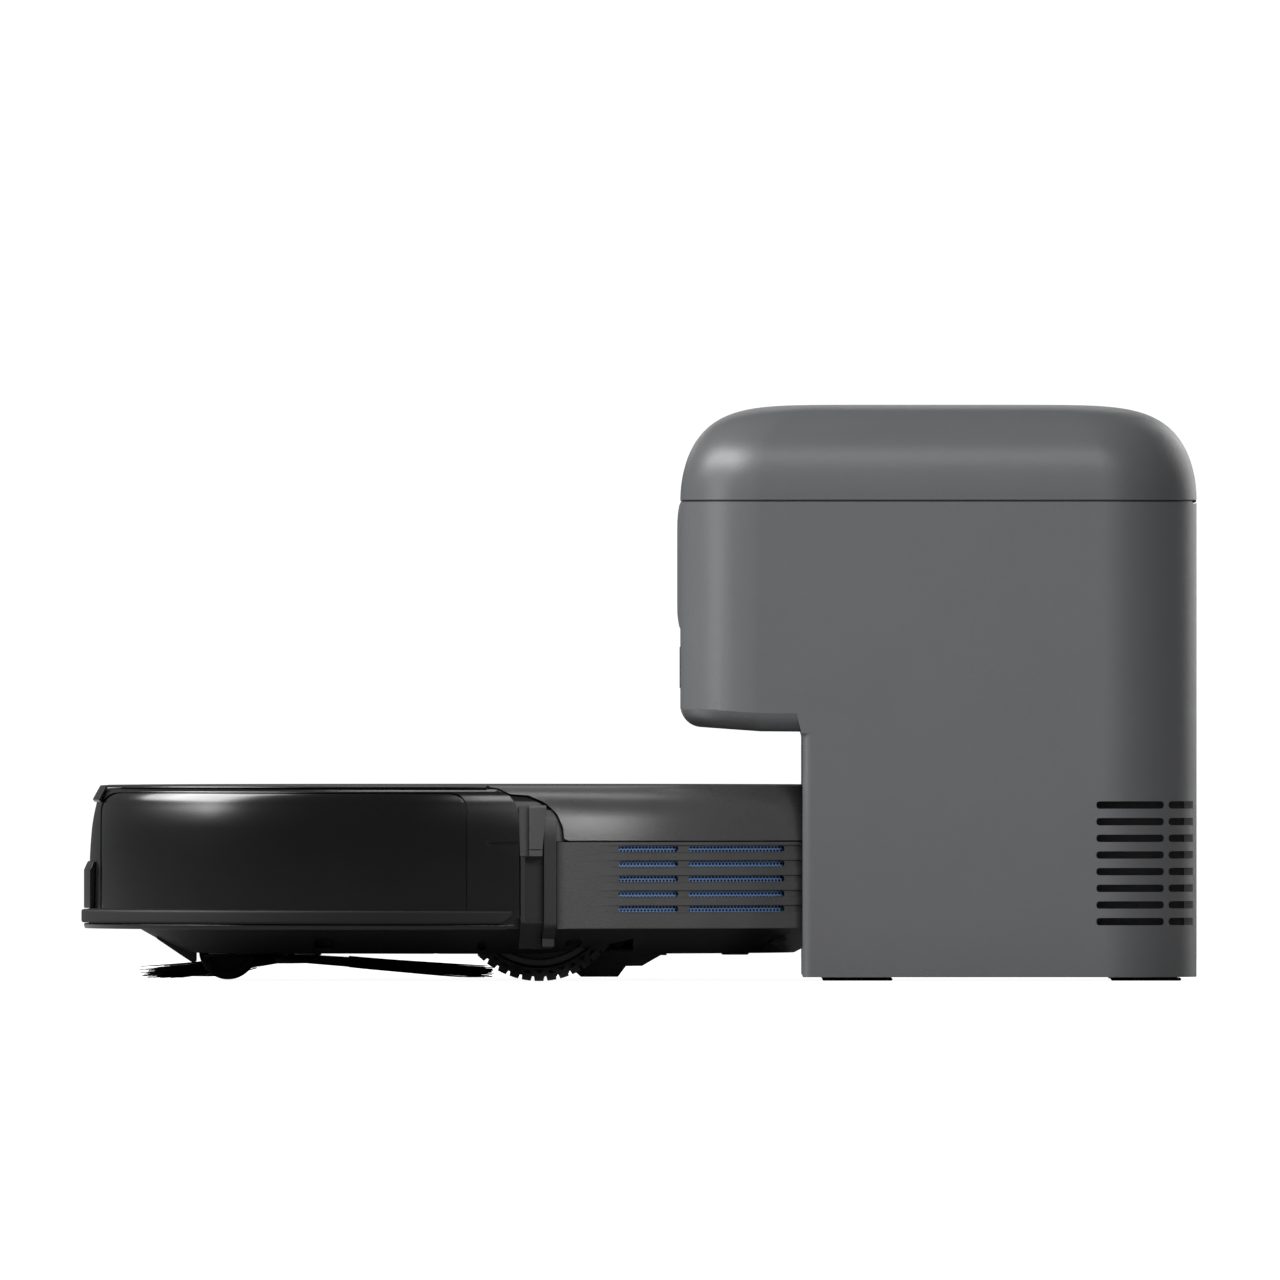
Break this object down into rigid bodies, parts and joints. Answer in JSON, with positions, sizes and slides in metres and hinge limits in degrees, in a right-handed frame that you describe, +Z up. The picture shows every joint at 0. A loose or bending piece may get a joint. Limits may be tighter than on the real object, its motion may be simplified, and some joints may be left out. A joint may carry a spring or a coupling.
{
  "type": "robot vacuum",
  "caption": "Round robot vacuum with sprung bumper, side brush, drive wheels and a caster, parked in its self-emptying dock with a hinged lid.",
  "frame": {"origin": "on the floor under the middle of the whole object's box", "axes": "+X from the robot's front to the dock's rear, +Y to the robot's right-hand side, +Z up"},
  "size_m": [0.4604, 0.337, 0.2374],
  "materials": {
    "chassis_black": "fine-grained matte black moulding",
    "bumper_black": "satin black moulding",
    "smoked_window": "polished smoked plastic, opaque in visible light",
    "shell_grey": "satin dark grey with a fine grain",
    "panel_grey": "textured dark grey moulding",
    "rubber_black": "matte black rubber",
    "wheel_tyre": "lugged rubber tyre",
    "mesh_blue": "perforated sheet, blue",
    "bristle_black": "nylon bristle",
    "steel": "plain steel",
    "inner_plastic": "plain inner moulding",
    "board_green": "circuit board",
    "filter_white": "filter fleece",
    "dock_grey": "satin mid grey with a fine grain"
  },
  "bodies": {
    "robot_body": {"chassis_pan": "chassis_black", "front_top_rim": "bumper_black", "front_visor": "bumper_black", "top_plate": "bumper_black", "rear_top_shell": "shell_grey", "side_panel_left": "panel_grey", "side_panel_right": "panel_grey", "vent_mesh_left": "mesh_blue", "vent_mesh_right": "mesh_blue", "side_pillar_left": "chassis_black", "side_pillar_right": "chassis_black", "dust_bin": "panel_grey", "bin_filter": "filter_white", "caster_socket": "inner_plastic", "side_brush_motor": "steel", "brush_guard": "chassis_black", "brush_housing": "inner_plastic", "brush_motor": "steel", "battery_pack": "inner_plastic", "main_board": "board_green", "suction_fan": "inner_plastic", "charging_pad_left": "steel", "charging_pad_right": "steel"},
    "bumper": {"bumper_shell": "bumper_black", "rubber_strip": "rubber_black", "side_window_left": "smoked_window", "side_window_right": "smoked_window", "front_sensor_window": "smoked_window"},
    "start_button": {"start_button": "shell_grey"},
    "home_button": {"home_button": "shell_grey"},
    "suspension_left": {"suspension_arm_left": "inner_plastic"},
    "suspension_right": {"suspension_arm_right": "inner_plastic"},
    "drive_wheel_left": {"wheel_rim_left": "inner_plastic", "tyre_left": "wheel_tyre"},
    "drive_wheel_right": {"wheel_rim_right": "inner_plastic", "tyre_right": "wheel_tyre"},
    "caster_swivel": {"caster_fork": "chassis_black"},
    "caster_roller": {"caster_wheel": "rubber_black"},
    "side_brush": {"side_brush_hub": "rubber_black", "bristle_bundle_1": "bristle_black", "bristle_bundle_2": "bristle_black", "bristle_bundle_3": "bristle_black"},
    "main_brush": {"main_brush_roller": "rubber_black"},
    "evacuation_flap": {"evacuation_flap": "rubber_black"},
    "dock": {"dock_body": "dock_grey", "dock_front_panel": "dock_grey", "dock_base": "dock_grey", "foot_front_left": "rubber_black", "foot_front_right": "rubber_black", "foot_rear_left": "rubber_black", "foot_rear_right": "rubber_black", "dust_bag": "filter_white", "suction_duct": "inner_plastic", "port_seal": "rubber_black", "dock_fan_motor": "inner_plastic", "power_inlet": "inner_plastic"},
    "lid": {"dock_lid": "dock_grey", "lid_hinge_pin": "steel"},
    "contact_left": {"charging_contact_left": "steel"},
    "contact_right": {"charging_contact_right": "steel"}
  },
  "joints": [
    {"name": "docking_slide", "type": "slide", "parent": "robot_body", "child": "dock", "axis": [1, 0, 0], "range_m": [0, 0.11]},
    {"name": "bumper_press", "type": "slide", "parent": "robot_body", "child": "bumper", "axis": [1, 0, 0], "range_m": [0, 0.004], "stiffness_N_per_m": 600},
    {"name": "start_button_press", "type": "slide", "parent": "robot_body", "child": "start_button", "axis": [0, 0, -1], "range_m": [0, 0.0012], "stiffness_N_per_m": 800},
    {"name": "home_button_press", "type": "slide", "parent": "robot_body", "child": "home_button", "axis": [0, 0, -1], "range_m": [0, 0.0012], "stiffness_N_per_m": 800},
    {"name": "suspension_left_drop", "type": "hinge", "parent": "robot_body", "child": "suspension_left", "pos_m": [-0.088, -0.092, 0.04], "axis": [0, 1, 0], "range_deg": [0, 25]},
    {"name": "drive_left_spin", "type": "hinge", "parent": "suspension_left", "child": "drive_wheel_left", "pos_m": [-0.0407, -0.112, 0.0355], "axis": [0, 1, 0], "continuous": true},
    {"name": "suspension_right_drop", "type": "hinge", "parent": "robot_body", "child": "suspension_right", "pos_m": [-0.088, 0.092, 0.04], "axis": [0, 1, 0], "range_deg": [0, 25]},
    {"name": "drive_right_spin", "type": "hinge", "parent": "suspension_right", "child": "drive_wheel_right", "pos_m": [-0.0407, 0.112, 0.0355], "axis": [0, 1, 0], "continuous": true},
    {"name": "caster_swivel_turn", "type": "hinge", "parent": "robot_body", "child": "caster_swivel", "pos_m": [-0.1635, 0, 0.02], "axis": [0, 0, 1], "continuous": true},
    {"name": "caster_roll", "type": "hinge", "parent": "caster_swivel", "child": "caster_roller", "pos_m": [-0.1695, 0, 0.012], "axis": [0, 1, 0], "continuous": true},
    {"name": "side_brush_spin", "type": "hinge", "parent": "robot_body", "child": "side_brush", "pos_m": [-0.147, 0.098, 0.008], "axis": [0, 0, 1], "continuous": true},
    {"name": "main_brush_spin", "type": "hinge", "parent": "robot_body", "child": "main_brush", "pos_m": [-0.015, 0, 0.0162], "axis": [0, 1, 0], "continuous": true},
    {"name": "flap_swing", "type": "hinge", "parent": "robot_body", "child": "evacuation_flap", "pos_m": [0.0985, 0, 0.0484], "axis": [0, -1, 0], "range_deg": [0, 40]},
    {"name": "lid_open", "type": "hinge", "parent": "dock", "child": "lid", "pos_m": [0.2294, 0, 0.1976], "axis": [0, 1, 0], "range_deg": [0, 75]},
    {"name": "contact_left_press", "type": "slide", "parent": "dock", "child": "contact_left", "axis": [0, 0, -1], "range_m": [0, 0.0015], "stiffness_N_per_m": 400},
    {"name": "contact_right_press", "type": "slide", "parent": "dock", "child": "contact_right", "axis": [0, 0, -1], "range_m": [0, 0.0015], "stiffness_N_per_m": 400}
  ]
}
